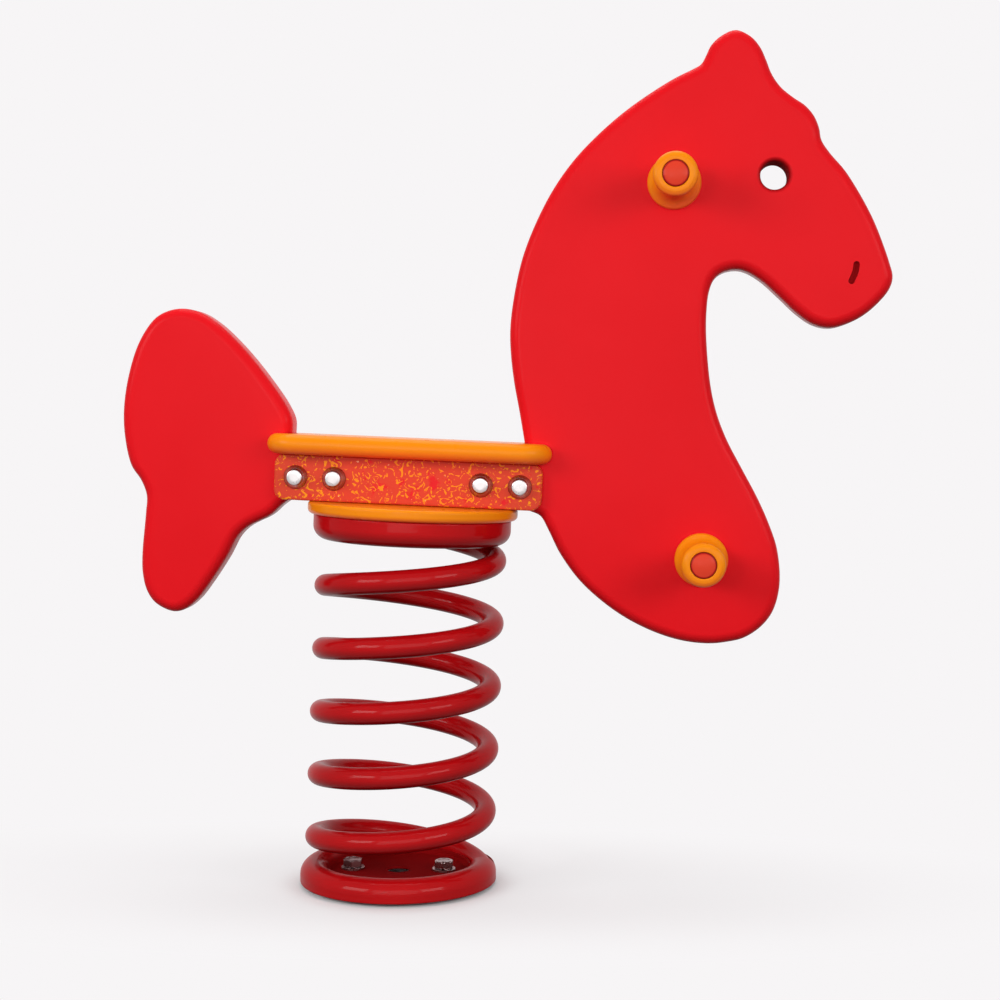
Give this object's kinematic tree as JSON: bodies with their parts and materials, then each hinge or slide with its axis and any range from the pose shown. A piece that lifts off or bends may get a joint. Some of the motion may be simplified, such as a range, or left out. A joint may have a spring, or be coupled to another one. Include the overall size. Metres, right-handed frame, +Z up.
{
  "type": "spring rider",
  "caption": "Playground spring rider: a horse figure of thick red boards with an orange saddle, grips and foot rests, rocking on a coil spring bolted to the ground.",
  "frame": {"origin": "on the ground, in the middle of the base retainer's open edge", "axes": "+X forward, the way the horse looks; +Y to its left, the far side in the picture; +Z up"},
  "size_m": [0.7729, 0.213, 0.8576],
  "materials": {
    "spring_paint": "gloss",
    "bright_steel": "satin",
    "horse_board": "satin",
    "saddle_board": "satin",
    "grip_moulding": "satin",
    "cap_moulding": "satin"
  },
  "bodies": {
    "base": {"base_retainer": "spring_paint", "base_washers": "bright_steel", "base_nuts": "bright_steel"},
    "coil": {"spring": "spring_paint"},
    "rider": {"top_retainer": "spring_paint", "top_washers": "bright_steel", "top_bolts": "bright_steel", "barrel_nuts": "bright_steel", "support_disc": "saddle_board", "front_panel": "horse_board", "tail_panel": "horse_board", "cheek_near": "saddle_board", "cheek_far": "saddle_board", "cheek_bolts": "bright_steel", "cheek_nuts": "bright_steel", "seat": "saddle_board", "seat_screws": "bright_steel", "hand_grip_near": "grip_moulding", "hand_grip_far": "grip_moulding", "hand_grip_rod": "bright_steel", "hand_grip_washers": "bright_steel", "hand_grip_nuts": "bright_steel", "hand_grip_caps": "cap_moulding", "foot_rest_near": "grip_moulding", "foot_rest_far": "grip_moulding", "foot_rest_rod": "bright_steel", "foot_rest_washers": "bright_steel", "foot_rest_nuts": "bright_steel", "foot_rest_caps": "cap_moulding"}
  },
  "joints": [
    {"name": "rock_fore_aft", "type": "hinge", "parent": "base", "child": "coil", "pos_m": [0.0041, 0, 0.098], "axis": [0, 1, 0], "range_deg": [-20, 20], "stiffness_Nm_per_rad": 700, "springref_deg": -1.05, "deforming": ["spring"]},
    {"name": "rock_side", "type": "hinge", "parent": "coil", "child": "rider", "pos_m": [0.0115, 0, 0.275], "axis": [1, 0, 0], "range_deg": [-12, 12], "stiffness_Nm_per_rad": 700, "deforming": ["spring"]}
  ]
}
